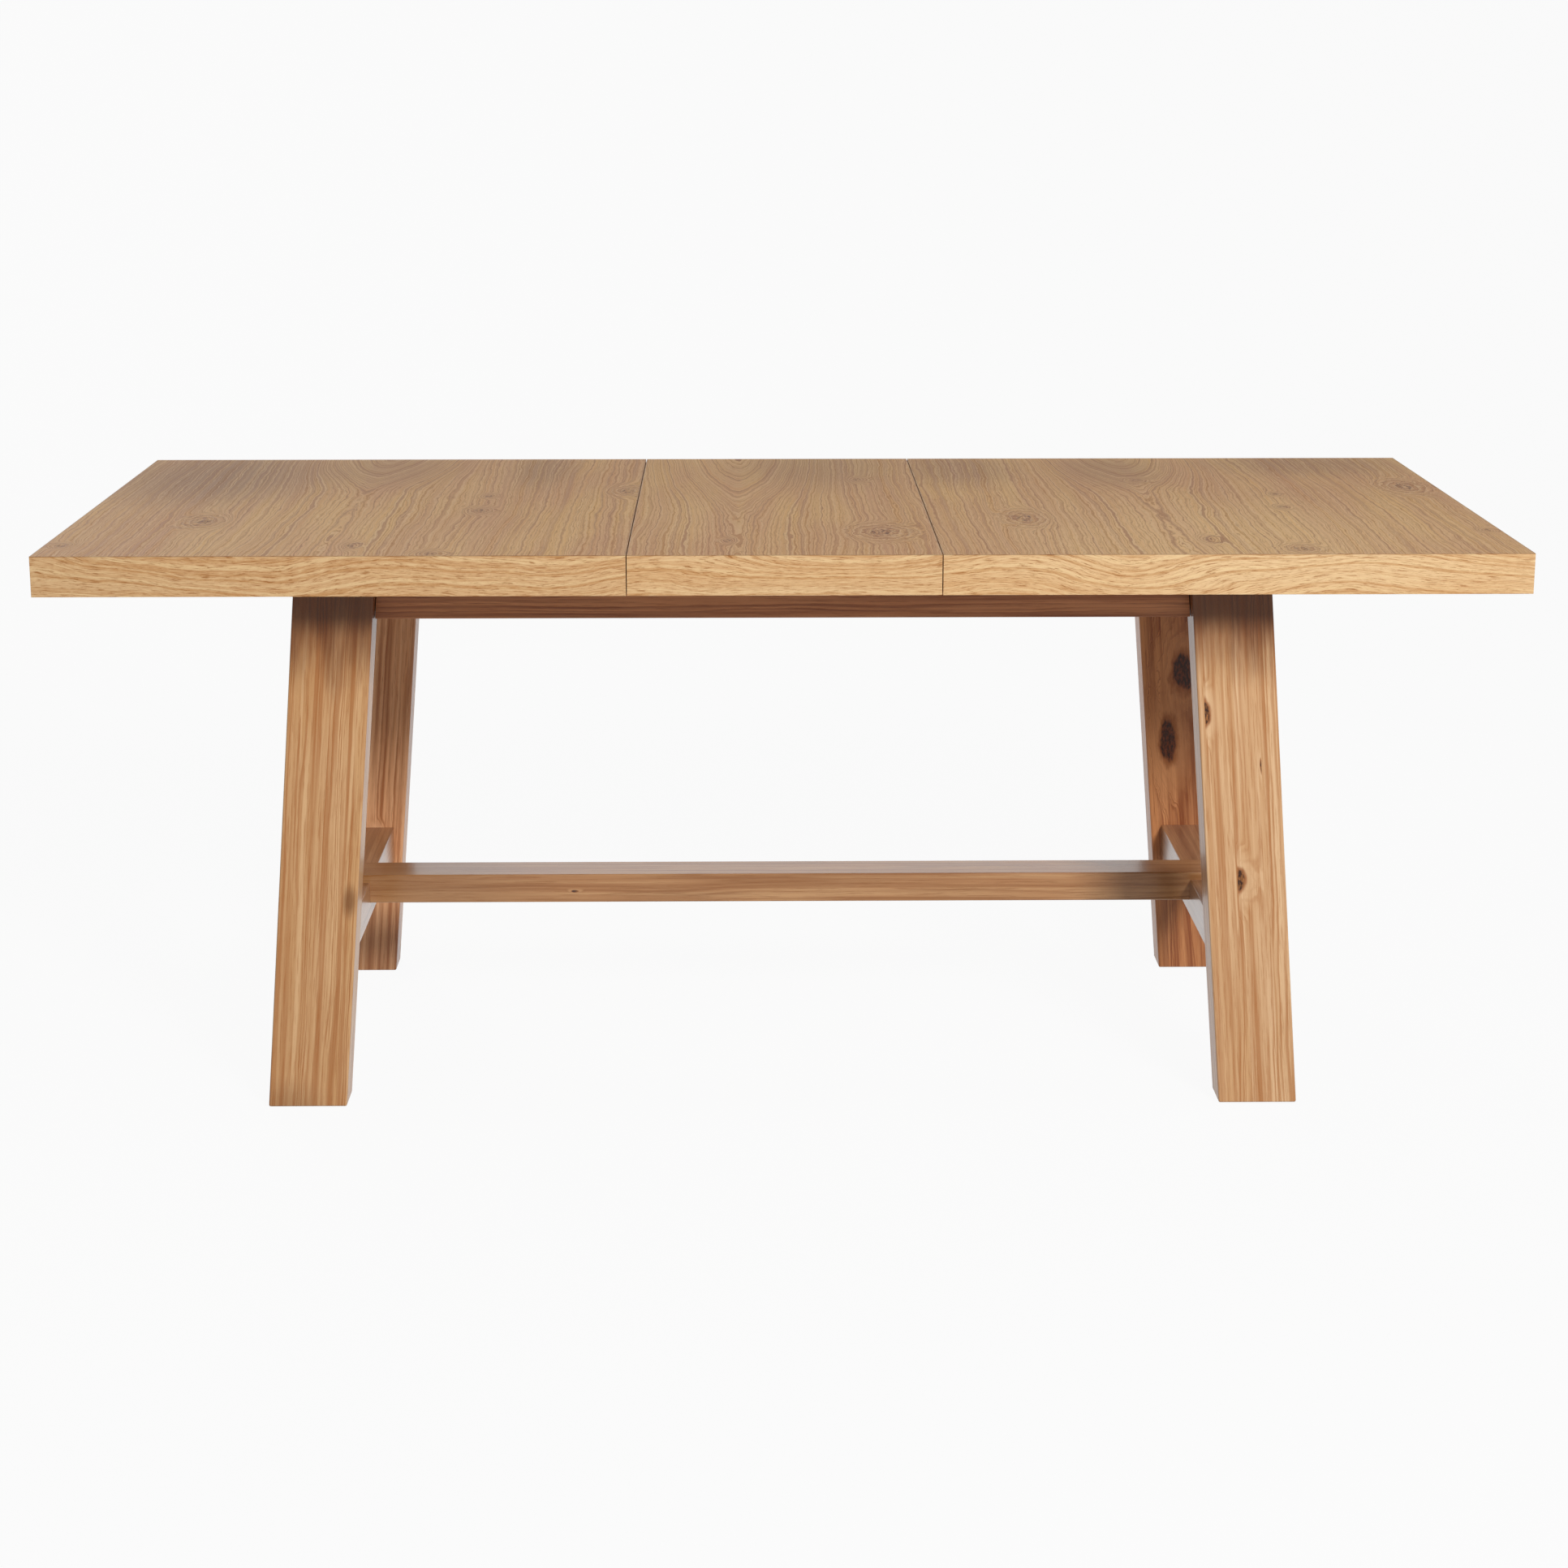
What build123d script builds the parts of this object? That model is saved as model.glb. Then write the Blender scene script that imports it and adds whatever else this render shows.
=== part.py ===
"""Extendable dining table: a fixed trestle base with two sliding top halves and a loose centre leaf.

The table stands on Z = 0 with its origin at the middle of the floor under it. X runs along the length,
Y across the width, and -Y is the front. All sizes are in millimetres. The table is drawn open, with
the leaf in place.
"""

import os

from build123d import *

# ---------------------------------------------------------------- driving dimensions
TABLE_LENGTH = 1900.0
TABLE_WIDTH = 900.0
TABLE_HEIGHT = 770.0
LEAF_LENGTH = 400.0
JOINT_GAP = 1.2

TOP_THICKNESS = 52.0
SKIN_THICKNESS = 8.0
EDGE_THICKNESS = 1.2
EDGE_ARRIS = 0.4
BATTEN_WIDTH = 60.0

LEG_WIDTH = 105.0
LEG_DEPTH = 60.0
LEG_SPREAD_TOP = 635.0
LEG_SPREAD_FOOT = 694.0
LEG_FACE = 344.0
LEG_ROUND = 2.5
GLIDE_THICKNESS = 2.0
GLIDE_RADIUS = 14.0
GLIDE_ROUND = 0.8

APRON_SETBACK = 25.0
APRON_THICKNESS = 22.0
APRON_BOTTOM = 665.0
APRON_END_GAP = 1.0
FRAME_ROUND = 1.5
END_RAIL_FACE = 600.0
END_RAIL_THICKNESS = 30.0

FOOT_RAIL_INNER = 586.0
FOOT_RAIL_WIDTH = 75.0
FOOT_RAIL_BOTTOM = 179.5
FOOT_RAIL_HEIGHT = 50.0
STRETCHER_BOTTOM = 200.0
STRETCHER_HEIGHT = 41.0
STRETCHER_WIDTH = 70.0
LAP_HEIGHT = 214.5

FOOT_TENON_X = (603.0, 645.0)
FOOT_TENON_Z = (190.0, 219.0)
FOOT_TENON_LENGTH = 36.0
END_TENON_X = (577.0, 593.0)
END_TENON_Z = (674.0, 707.0)
END_TENON_LENGTH = 30.0
BEARER_HALF = 30.0
BEARER_Z = (672.0, 712.0)
BEARER_TENON = 12.0
BEARER_TENON_X = (-18.0, 18.0)
BEARER_TENON_Z = (680.0, 704.0)
MORTISE_SPARE = 0.5

CORNER_BLOCK_BOTTOM = 670.0
CORNER_BLOCK_HEIGHT = 44.0
CORNER_BLOCK_NOTCH_X = 527.0
CORNER_BLOCK_TIP_X = 470.0
CORNER_BLOCK_TIP_DEPTH = 9.0
CORNER_BLOCK_TOE_WIDTH = 14.0
CORNER_BLOCK_TOE_Y = 65.0

RUNNER_GAP = 1.5
PAD_THICKNESS = 1.3
GUIDE_Y = 195.0
GUIDE_WIDTH = 30.0
GUIDE_Z = (670.0, 714.0)
GUIDE_TENON = 10.0
GUIDE_TENON_Z = (684.0, 700.0)
GUIDE_TENON_SHOULDER = 4.0
RUNNER_INNER = 235.0
RUNNER_OUTER = 530.0
RUNNER_WIDTH = 30.0
RUNNER_CLEARANCE = 0.5
RUNNER_BOTTOM = 676.0
RUNNER_ROUND = 1.0
TONGUE_SHOULDER = 5.0
GROOVE_DEPTH = 12.0
GROOVE_LOW = 688.0
GROOVE_HIGH = 702.0

LONG_PAD_PLACES = (-420.0, -120.0, 120.0, 420.0)
LONG_PAD_HALF_LENGTH = 20.0
LONG_PAD_HALF_WIDTH = 8.0
END_PAD_PLACES = (-150.0, 150.0)
END_PAD_HALF_LENGTH = 25.0
END_PAD_HALF_WIDTH = 10.0

HALF_CROSS_BARS = 5
LEAF_CROSS_BARS = 3
RUNNER_BATTEN = (150.0, 210.0)

DOWEL_RADIUS = 5.0
DOWEL_REACH = 14.0
DOWEL_SOCKET = 22.0
DOWEL_PLAY = 0.3
DOWEL_CHAMFER = 1.0
DOWEL_END_PLAY = 1.0
LEFT_DOWEL_ROWS = (-360.0, 0.0, 360.0)
RIGHT_DOWEL_ROWS = (-150.0, 150.0)

GLUE_LINE = 0.05
OVERSHOOT = 1.0
SCREW_RADIUS = 2.25
SCREW_HEAD_RADIUS = 4.5
SCREW_HEAD_HEIGHT = 2.6
BOLT_RADIUS = 4.0
BOLT_HEAD_RADIUS = 6.5
BOLT_HEAD_HEIGHT = 8.0
BOLT_SOCKET = 3.2
BOLT_CLEARANCE = 0.5
BOLT_ACCESS = 60.0
SCREW_ACCESS = 30.0
SCREW_ACCESS_PLAY = 0.5

LEG_BOLT_X = 552.0
LEG_BOLT_Z = 692.0
LEG_BOLT_IN_BLOCK = 28.0
LEG_BOLT_IN_LEG = 40.0
BLOCK_SCREW_HEIGHTS = (677.0, 707.0)
APRON_SCREW_X = 505.0
APRON_SCREW_IN_BLOCK = 20.0
APRON_SCREW_IN_APRON = 16.0
END_SCREW_Y = 250.0
END_SCREW_IN_BLOCK = 25.0
END_SCREW_IN_RAIL = 20.0
APRON_DOWEL_HEIGHTS = (679.0, 703.0)
APRON_DOWEL_IN_APRON = 20.0
APRON_DOWEL_IN_LEG = 22.0
GUIDE_SCREW_Z = 693.0
GUIDE_SCREW_Y = 19.0
GUIDE_SCREW_IN_GUIDE = 30.0
STRETCHER_BOLT_SINK = 3.0
STRETCHER_BOLT_COVER = 7.0
RUNNER_SCREW_FROM_INNER = 13.0
RUNNER_SCREW_FROM_OUTER = 80.0
RUNNER_SCREW_IN_CORE = 24.0

# ---------------------------------------------------------------- heights and places worked out from them
UNDERSIDE = TABLE_HEIGHT - TOP_THICKNESS
CORE_BOTTOM = UNDERSIDE + SKIN_THICKNESS
CORE_TOP = TABLE_HEIGHT - SKIN_THICKNESS
FRAME_TOP = UNDERSIDE - RUNNER_GAP
HALF_LENGTH = TABLE_LENGTH / 2
HALF_WIDTH = TABLE_WIDTH / 2
HALF_INNER = LEAF_LENGTH / 2 + JOINT_GAP / 2
LEAF_OUTER = LEAF_LENGTH / 2 - JOINT_GAP / 2
LEG_INNER_FACE = LEG_FACE - LEG_DEPTH
APRON_FACE = LEG_FACE - APRON_SETBACK
APRON_BACK = APRON_FACE - APRON_THICKNESS
END_RAIL_INNER = END_RAIL_FACE - END_RAIL_THICKNESS
FOOT_RAIL_OUTER = FOOT_RAIL_INNER + FOOT_RAIL_WIDTH
FOOT_RAIL_CENTRE = (FOOT_RAIL_INNER + FOOT_RAIL_OUTER) / 2
FOOT_RAIL_TOP = FOOT_RAIL_BOTTOM + FOOT_RAIL_HEIGHT
STRETCHER_TOP = STRETCHER_BOTTOM + STRETCHER_HEIGHT
RUNNER_Y = GUIDE_Y - RUNNER_CLEARANCE
DOWEL_Z = (UNDERSIDE + TABLE_HEIGHT) / 2
SIDES = (("left", -1), ("right", 1))
FACES = (("front", -1), ("back", 1))


def leg_outer(z):
    """Distance from the middle to the outer face of a leg, which leans out towards the floor."""
    return LEG_SPREAD_FOOT + (LEG_SPREAD_TOP - LEG_SPREAD_FOOT) * z / UNDERSIDE


def leg_inner(z):
    """Distance from the middle to the inner face of a leg."""
    return leg_outer(z) - LEG_WIDTH


# ---------------------------------------------------------------- shapes used by many pieces
def block(xs, ys, zs, mode=Mode.ADD):
    """A box between two X, two Y and two Z values, in the part being built."""
    centre = tuple((min(pair) + max(pair)) / 2 for pair in (xs, ys, zs))
    sizes = tuple(max(pair) - min(pair) for pair in (xs, ys, zs))
    with Locations(centre):
        Box(*sizes, mode=mode)


def rod(radius, start, end, mode=Mode.ADD):
    """A round bar or a round hole from one point to another, in the part being built."""
    along = Vector(*end) - Vector(*start)
    with BuildSketch(Plane(origin=start, z_dir=along)) as section:
        Circle(radius)
    extrude(section.sketch, amount=along.length, mode=mode)


def taper(base_radius, tip_radius, start, end, mode=Mode.ADD):
    """A cone from one point to another, for a countersunk head or its seat."""
    along = Vector(*end) - Vector(*start)
    with Locations(Plane(origin=start, z_dir=along).location):
        Cone(base_radius, tip_radius, along.length, align=(Align.CENTER, Align.CENTER, Align.MIN), mode=mode)


def along_line(start, end, distance):
    """The point that lies a distance from start on the way to end."""
    return tuple(Vector(*start) + (Vector(*end) - Vector(*start)).normalized() * distance)


def wood_screw(head, tip, radius=SCREW_RADIUS, head_radius=SCREW_HEAD_RADIUS):
    """A countersunk wood screw with a cross recess, in the part being built."""
    neck = along_line(head, tip, SCREW_HEAD_HEIGHT)
    shank_end = along_line(tip, head, 2 * radius)
    taper(head_radius, radius, head, neck)
    rod(radius, neck, shank_end)
    taper(radius, radius / 4, shank_end, tip)
    with BuildSketch(Plane(origin=head, z_dir=Vector(*tip) - Vector(*head))) as recess:
        Rectangle(head_radius, head_radius / 5)
        Rectangle(head_radius / 5, head_radius)
    extrude(recess.sketch, amount=SCREW_HEAD_HEIGHT / 2, mode=Mode.SUBTRACT)


def screw_hole(head, tip, radius=SCREW_RADIUS, head_radius=SCREW_HEAD_RADIUS):
    """The countersunk hole that a wood screw sits in."""
    neck = along_line(head, tip, SCREW_HEAD_HEIGHT)
    taper(head_radius + GLUE_LINE, radius + GLUE_LINE, head, neck, mode=Mode.SUBTRACT)
    rod(radius + GLUE_LINE, head, along_line(tip, head, -OVERSHOOT), mode=Mode.SUBTRACT)


def cap_bolt(head, tip):
    """A socket-head bolt whose head starts at head, in the part being built."""
    shoulder = along_line(head, tip, BOLT_HEAD_HEIGHT)
    rod(BOLT_HEAD_RADIUS, head, shoulder)
    rod(BOLT_RADIUS, shoulder, tip)
    with BuildSketch(Plane(origin=head, z_dir=Vector(*tip) - Vector(*head))) as socket:
        RegularPolygon(BOLT_SOCKET, 6)
    extrude(socket.sketch, amount=BOLT_HEAD_HEIGHT / 2, mode=Mode.SUBTRACT)


def bolt_hole(head, tip):
    """The counterbored hole that a socket-head bolt sits in."""
    shoulder = along_line(head, tip, BOLT_HEAD_HEIGHT)
    rod(BOLT_HEAD_RADIUS + BOLT_CLEARANCE, along_line(head, tip, -BOLT_ACCESS), shoulder, mode=Mode.SUBTRACT)
    rod(BOLT_RADIUS + BOLT_CLEARANCE, head, along_line(tip, head, -OVERSHOOT), mode=Mode.SUBTRACT)


def bolt_thread_hole(head, tip):
    """The close hole that a bolt's thread bites in."""
    rod(BOLT_RADIUS + GLUE_LINE, head, along_line(tip, head, -OVERSHOOT), mode=Mode.SUBTRACT)


def long_edges(part, axis, radius):
    """Rounds every edge of the part that runs along an axis."""
    fillet(part.edges().filter_by(axis), radius)


def save(part, name):
    """Labels a finished piece and writes it as its own STEP file."""
    part.part.label = name
    export_step(part.part, f"parts/{name}.step")


# ---------------------------------------------------------------- where the fasteners sit
def leg_bolt(side, face):
    """Head and tip of the bolt that pulls a leg to its corner block."""
    head_y = face * (LEG_INNER_FACE - LEG_BOLT_IN_BLOCK)
    tip_y = face * (LEG_INNER_FACE + LEG_BOLT_IN_LEG)
    return (side * LEG_BOLT_X, head_y, LEG_BOLT_Z), (side * LEG_BOLT_X, tip_y, LEG_BOLT_Z)


def apron_screws(side, face):
    """Heads and tips of the screws that hold a corner block to its apron."""
    head_y = face * (APRON_BACK - APRON_SCREW_IN_BLOCK)
    tip_y = face * (APRON_BACK + APRON_SCREW_IN_APRON)
    for z in BLOCK_SCREW_HEIGHTS:
        yield (side * APRON_SCREW_X, head_y, z), (side * APRON_SCREW_X, tip_y, z)


def end_rail_screws(side, face):
    """Heads and tips of the screws that hold a corner block to its end rail."""
    head_x = side * (END_RAIL_INNER - END_SCREW_IN_BLOCK)
    tip_x = side * (END_RAIL_INNER + END_SCREW_IN_RAIL)
    for z in BLOCK_SCREW_HEIGHTS:
        yield (head_x, face * END_SCREW_Y, z), (tip_x, face * END_SCREW_Y, z)


def block_screws(side, face):
    """Heads and tips of all the screws in a corner block."""
    return [*apron_screws(side, face), *end_rail_screws(side, face)]


def apron_dowels(side, face):
    """Ends of the two dowels between an apron and a leg."""
    y = face * (APRON_FACE - APRON_THICKNESS / 2)
    for z in APRON_DOWEL_HEIGHTS:
        inner_end = (side * (leg_inner(z) - APRON_DOWEL_IN_APRON), y, z)
        outer_end = (side * (leg_inner(z) + APRON_DOWEL_IN_LEG), y, z)
        yield inner_end, outer_end


def guide_screw(side, face):
    """Head and tip of the screw that holds a guide rail to its end rail."""
    y = face * (GUIDE_Y + GUIDE_SCREW_Y)
    tip_x = side * (END_RAIL_INNER - GUIDE_SCREW_IN_GUIDE)
    return (side * END_RAIL_FACE, y, GUIDE_SCREW_Z), (tip_x, y, GUIDE_SCREW_Z)


def stretcher_bolt(side):
    """Head and tip of the bolt that pulls the stretcher down on to a foot rail."""
    x = side * FOOT_RAIL_CENTRE
    return (x, 0.0, FOOT_RAIL_BOTTOM + STRETCHER_BOLT_SINK), (x, 0.0, STRETCHER_TOP - STRETCHER_BOLT_COVER)


def runner_screws(side):
    """Heads and tips of the screws that hold one half's two runners under its battens."""
    places = (RUNNER_INNER + RUNNER_SCREW_FROM_INNER, RUNNER_OUTER - RUNNER_SCREW_FROM_OUTER)
    for _, face in FACES:
        y = face * (RUNNER_Y - RUNNER_WIDTH / 2)
        for x in places:
            yield (side * x, y, RUNNER_BOTTOM), (side * x, y, CORE_BOTTOM + RUNNER_SCREW_IN_CORE)


# ---------------------------------------------------------------- base: legs
def make_leg(name, side, face):
    """A leg of rectangular section that leans outwards along the table's length."""
    inner_y = face * LEG_INNER_FACE
    with BuildPart() as leg:
        with BuildSketch(Plane.XZ.offset(-face * LEG_FACE)):
            with BuildLine():
                Polyline(
                    (side * leg_inner(FRAME_TOP), FRAME_TOP),
                    (side * leg_outer(FRAME_TOP), FRAME_TOP),
                    (side * leg_outer(GLIDE_THICKNESS), GLIDE_THICKNESS),
                    (side * leg_inner(GLIDE_THICKNESS), GLIDE_THICKNESS),
                    close=True,
                )
            make_face()
        extrude(amount=face * LEG_DEPTH)
        fillet(leg.edges().filter_by(lambda edge: abs((edge % 0.5).Z) > 0.9), LEG_ROUND)
        fillet(leg.faces().sort_by(Axis.Z)[0].edges(), LEG_ROUND)
        foot_x = [side * x for x in FOOT_TENON_X]
        foot_y = (inner_y, inner_y + face * (FOOT_TENON_LENGTH + MORTISE_SPARE))
        block(foot_x, foot_y, FOOT_TENON_Z, mode=Mode.SUBTRACT)
        end_x = [side * x for x in END_TENON_X]
        end_y = (inner_y, inner_y + face * (END_TENON_LENGTH + MORTISE_SPARE))
        block(end_x, end_y, END_TENON_Z, mode=Mode.SUBTRACT)
        bolt_thread_hole(*leg_bolt(side, face))
        for inner_end, outer_end in apron_dowels(side, face):
            bottom = along_line(outer_end, inner_end, -OVERSHOOT)
            rod(DOWEL_RADIUS + GLUE_LINE, inner_end, bottom, mode=Mode.SUBTRACT)
    save(leg, name)


# ---------------------------------------------------------------- base: aprons, rails and stretcher
def make_apron(name, face):
    """A long apron between two legs, with its ends cut to the lean of the legs."""
    with BuildPart() as apron:
        with BuildSketch(Plane.XZ.offset(-face * APRON_FACE)):
            with BuildLine():
                Polyline(
                    (-leg_inner(FRAME_TOP) + APRON_END_GAP, FRAME_TOP),
                    (leg_inner(FRAME_TOP) - APRON_END_GAP, FRAME_TOP),
                    (leg_inner(APRON_BOTTOM) - APRON_END_GAP, APRON_BOTTOM),
                    (-leg_inner(APRON_BOTTOM) + APRON_END_GAP, APRON_BOTTOM),
                    close=True,
                )
            make_face()
        extrude(amount=face * APRON_THICKNESS)
        long_edges(apron, Axis.X, FRAME_ROUND)
        mortise_y = (face * APRON_BACK, face * (APRON_BACK + BEARER_TENON + MORTISE_SPARE))
        block(BEARER_TENON_X, mortise_y, BEARER_TENON_Z, mode=Mode.SUBTRACT)
        for _, side in SIDES:
            for inner_end, outer_end in apron_dowels(side, face):
                bottom = along_line(inner_end, outer_end, -OVERSHOOT)
                rod(DOWEL_RADIUS + GLUE_LINE, bottom, outer_end, mode=Mode.SUBTRACT)
            for head, tip in apron_screws(side, face):
                screw_hole(head, tip)
    save(apron, name)


def make_end_rail(name, side):
    """The top rail of a leg frame, tenoned into the front and back legs."""
    with BuildPart() as rail:
        block(
            (side * END_RAIL_INNER, side * END_RAIL_FACE),
            (-LEG_INNER_FACE, LEG_INNER_FACE),
            (APRON_BOTTOM, FRAME_TOP),
        )
        long_edges(rail, Axis.Y, FRAME_ROUND)
        reach = LEG_INNER_FACE + END_TENON_LENGTH
        block([side * x for x in END_TENON_X], (-reach, reach), END_TENON_Z)
        for _, face in FACES:
            for head, tip in end_rail_screws(side, face):
                screw_hole(head, tip)
            screw_hole(*guide_screw(side, face))
    save(rail, name)


def make_foot_rail(name, side):
    """The low rail of a leg frame, notched on top for the stretcher."""
    with BuildPart() as rail:
        block(
            (side * FOOT_RAIL_INNER, side * FOOT_RAIL_OUTER),
            (-LEG_INNER_FACE, LEG_INNER_FACE),
            (FOOT_RAIL_BOTTOM, FOOT_RAIL_TOP),
        )
        long_edges(rail, Axis.Y, FRAME_ROUND)
        reach = LEG_INNER_FACE + FOOT_TENON_LENGTH
        block([side * x for x in FOOT_TENON_X], (-reach, reach), FOOT_TENON_Z)
        block(
            (side * (FOOT_RAIL_INNER - OVERSHOOT), side * (FOOT_RAIL_OUTER + OVERSHOOT)),
            (-STRETCHER_WIDTH / 2 - GLUE_LINE, STRETCHER_WIDTH / 2 + GLUE_LINE),
            (LAP_HEIGHT, FOOT_RAIL_TOP + OVERSHOOT),
            mode=Mode.SUBTRACT,
        )
        bolt_hole(*stretcher_bolt(side))
    save(rail, name)


def make_stretcher():
    """The long stretcher, lapped over both foot rails and flush with their outer faces."""
    with BuildPart() as stretcher:
        block(
            (-FOOT_RAIL_OUTER, FOOT_RAIL_OUTER),
            (-STRETCHER_WIDTH / 2, STRETCHER_WIDTH / 2),
            (STRETCHER_BOTTOM, STRETCHER_TOP),
        )
        long_edges(stretcher, Axis.X, FRAME_ROUND)
        for _, side in SIDES:
            block(
                (side * (FOOT_RAIL_INNER - GLUE_LINE), side * (FOOT_RAIL_OUTER + OVERSHOOT)),
                (-STRETCHER_WIDTH, STRETCHER_WIDTH),
                (STRETCHER_BOTTOM - OVERSHOOT, LAP_HEIGHT),
                mode=Mode.SUBTRACT,
            )
            bolt_thread_hole(*stretcher_bolt(side))
    save(stretcher, "stretcher")


def make_centre_bearer():
    """The bearer that ties the two aprons together under the middle of the leaf."""
    with BuildPart() as bearer:
        block((-BEARER_HALF, BEARER_HALF), (-APRON_BACK, APRON_BACK), BEARER_Z)
        block(BEARER_TENON_X, (-APRON_BACK - BEARER_TENON, APRON_BACK + BEARER_TENON), BEARER_TENON_Z)
        mortise_bottom = BEARER_HALF - GUIDE_TENON - MORTISE_SPARE
        for _, face in FACES:
            near_y = face * (GUIDE_Y + GUIDE_TENON_SHOULDER)
            far_y = face * (GUIDE_Y + GUIDE_WIDTH - GUIDE_TENON_SHOULDER)
            for _, side in SIDES:
                mortise_x = (side * BEARER_HALF, side * mortise_bottom)
                block(mortise_x, (near_y, far_y), GUIDE_TENON_Z, mode=Mode.SUBTRACT)
    save(bearer, "centre_bearer")


def make_guide_rail(name, side, face):
    """A grooved rail between the centre bearer and an end rail, in which a runner's tongue slides."""
    inner_y = face * GUIDE_Y
    with BuildPart() as rail:
        block(
            (side * BEARER_HALF, side * END_RAIL_INNER),
            (inner_y, face * (GUIDE_Y + GUIDE_WIDTH)),
            GUIDE_Z,
        )
        block(
            (side * BEARER_HALF, side * END_RAIL_INNER),
            (inner_y, face * (GUIDE_Y + GROOVE_DEPTH)),
            (GROOVE_LOW, GROOVE_HIGH),
            mode=Mode.SUBTRACT,
        )
        block(
            (side * BEARER_HALF, side * (BEARER_HALF - GUIDE_TENON)),
            (face * (GUIDE_Y + GROOVE_DEPTH), face * (GUIDE_Y + GUIDE_WIDTH - GUIDE_TENON_SHOULDER)),
            GUIDE_TENON_Z,
        )
        screw_hole(*guide_screw(side, face))
    save(rail, name)


# ---------------------------------------------------------------- base: corner blocks and fasteners
def make_corner_blocks():
    """Four triangular blocks that tie apron, end rail and leg together, notched round the leg's corner."""
    toe_y = APRON_BACK - CORNER_BLOCK_TOE_Y
    tip_y = APRON_BACK - CORNER_BLOCK_TIP_DEPTH
    with BuildPart() as blocks:
        for _, side in SIDES:
            for _, face in FACES:
                with BuildSketch(Plane.XY.offset(CORNER_BLOCK_BOTTOM)):
                    with BuildLine():
                        Polyline(
                            (side * END_RAIL_INNER, face * LEG_INNER_FACE),
                            (side * END_RAIL_INNER, face * toe_y),
                            (side * (END_RAIL_INNER - CORNER_BLOCK_TOE_WIDTH), face * toe_y),
                            (side * CORNER_BLOCK_TIP_X, face * tip_y),
                            (side * CORNER_BLOCK_TIP_X, face * APRON_BACK),
                            (side * CORNER_BLOCK_NOTCH_X, face * APRON_BACK),
                            (side * CORNER_BLOCK_NOTCH_X, face * LEG_INNER_FACE),
                            close=True,
                        )
                    make_face()
                extrude(amount=CORNER_BLOCK_HEIGHT)
        for _, side in SIDES:
            for _, face in FACES:
                bolt_hole(*leg_bolt(side, face))
                for head, tip in block_screws(side, face):
                    mouth = along_line(head, tip, -SCREW_ACCESS)
                    rod(SCREW_HEAD_RADIUS + SCREW_ACCESS_PLAY, mouth, head, mode=Mode.SUBTRACT)
                    screw_hole(head, tip)
    save(blocks, "corner_blocks")


def make_base_fasteners():
    """The screws, bolts and dowels of the base, each kind as one group of separate pieces."""
    with BuildPart() as screws:
        for _, side in SIDES:
            for _, face in FACES:
                for head, tip in block_screws(side, face):
                    wood_screw(head, tip)
    save(screws, "corner_block_screws")

    with BuildPart() as bolts:
        for _, side in SIDES:
            for _, face in FACES:
                cap_bolt(*leg_bolt(side, face))
    save(bolts, "leg_bolts")

    with BuildPart() as lap_bolts:
        for _, side in SIDES:
            cap_bolt(*stretcher_bolt(side))
    save(lap_bolts, "stretcher_bolts")

    with BuildPart() as rail_screws:
        for _, side in SIDES:
            for _, face in FACES:
                wood_screw(*guide_screw(side, face))
    save(rail_screws, "guide_rail_screws")

    with BuildPart() as dowels:
        for _, side in SIDES:
            for _, face in FACES:
                for inner_end, outer_end in apron_dowels(side, face):
                    rod(DOWEL_RADIUS, inner_end, outer_end)
    save(dowels, "apron_dowels")


def make_slide_pads():
    """The thin pads on the aprons and end rails that the top slides on."""
    apron_middle = APRON_FACE - APRON_THICKNESS / 2
    rail_middle = END_RAIL_FACE - END_RAIL_THICKNESS / 2
    heights = (FRAME_TOP, FRAME_TOP + PAD_THICKNESS)
    with BuildPart() as pads:
        for _, face in FACES:
            ys = (face * (apron_middle - LONG_PAD_HALF_WIDTH), face * (apron_middle + LONG_PAD_HALF_WIDTH))
            for x in LONG_PAD_PLACES:
                block((x - LONG_PAD_HALF_LENGTH, x + LONG_PAD_HALF_LENGTH), ys, heights)
        for _, side in SIDES:
            xs = (side * (rail_middle - END_PAD_HALF_WIDTH), side * (rail_middle + END_PAD_HALF_WIDTH))
            for y in END_PAD_PLACES:
                block(xs, (y - END_PAD_HALF_LENGTH, y + END_PAD_HALF_LENGTH), heights)
    save(pads, "slide_pads")


def make_foot_glides():
    """The round glides under the four feet."""
    foot_x = leg_outer(0) - LEG_WIDTH / 2
    foot_y = LEG_FACE - LEG_DEPTH / 2
    with BuildPart() as glides:
        for _, side in SIDES:
            for _, face in FACES:
                centre = (side * foot_x, face * foot_y)
                rod(GLIDE_RADIUS, (*centre, 0), (*centre, GLIDE_THICKNESS))
        fillet(glides.faces().group_by(Axis.Z)[0].edges(), GLIDE_ROUND)
    save(glides, "foot_glides")


# ---------------------------------------------------------------- top: three hollow panels
def cut_dowel_holes(edge_x, outward, rows):
    """Round sockets in the end of a panel, in which its own dowels are glued."""
    for y in rows:
        start = (edge_x + outward * OVERSHOOT, y, DOWEL_Z)
        end = (edge_x - outward * DOWEL_SOCKET, y, DOWEL_Z)
        rod(DOWEL_RADIUS + GLUE_LINE, start, end, mode=Mode.SUBTRACT)


def cut_dowel_slots(edge_x, outward, rows):
    """Slots in the end of a panel, open below, in which the next panel's dowels lie."""
    radius = DOWEL_RADIUS + DOWEL_PLAY
    for y in rows:
        start_x = edge_x + outward * OVERSHOOT
        end_x = edge_x - outward * (DOWEL_REACH + JOINT_GAP)
        rod(radius, (start_x, y, DOWEL_Z), (end_x, y, DOWEL_Z), mode=Mode.SUBTRACT)
        below = (UNDERSIDE - OVERSHOOT, DOWEL_Z)
        block((start_x, end_x), (y - radius, y + radius), below, mode=Mode.SUBTRACT)


def cut_nothing():
    """The panel's end stays whole."""


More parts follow.
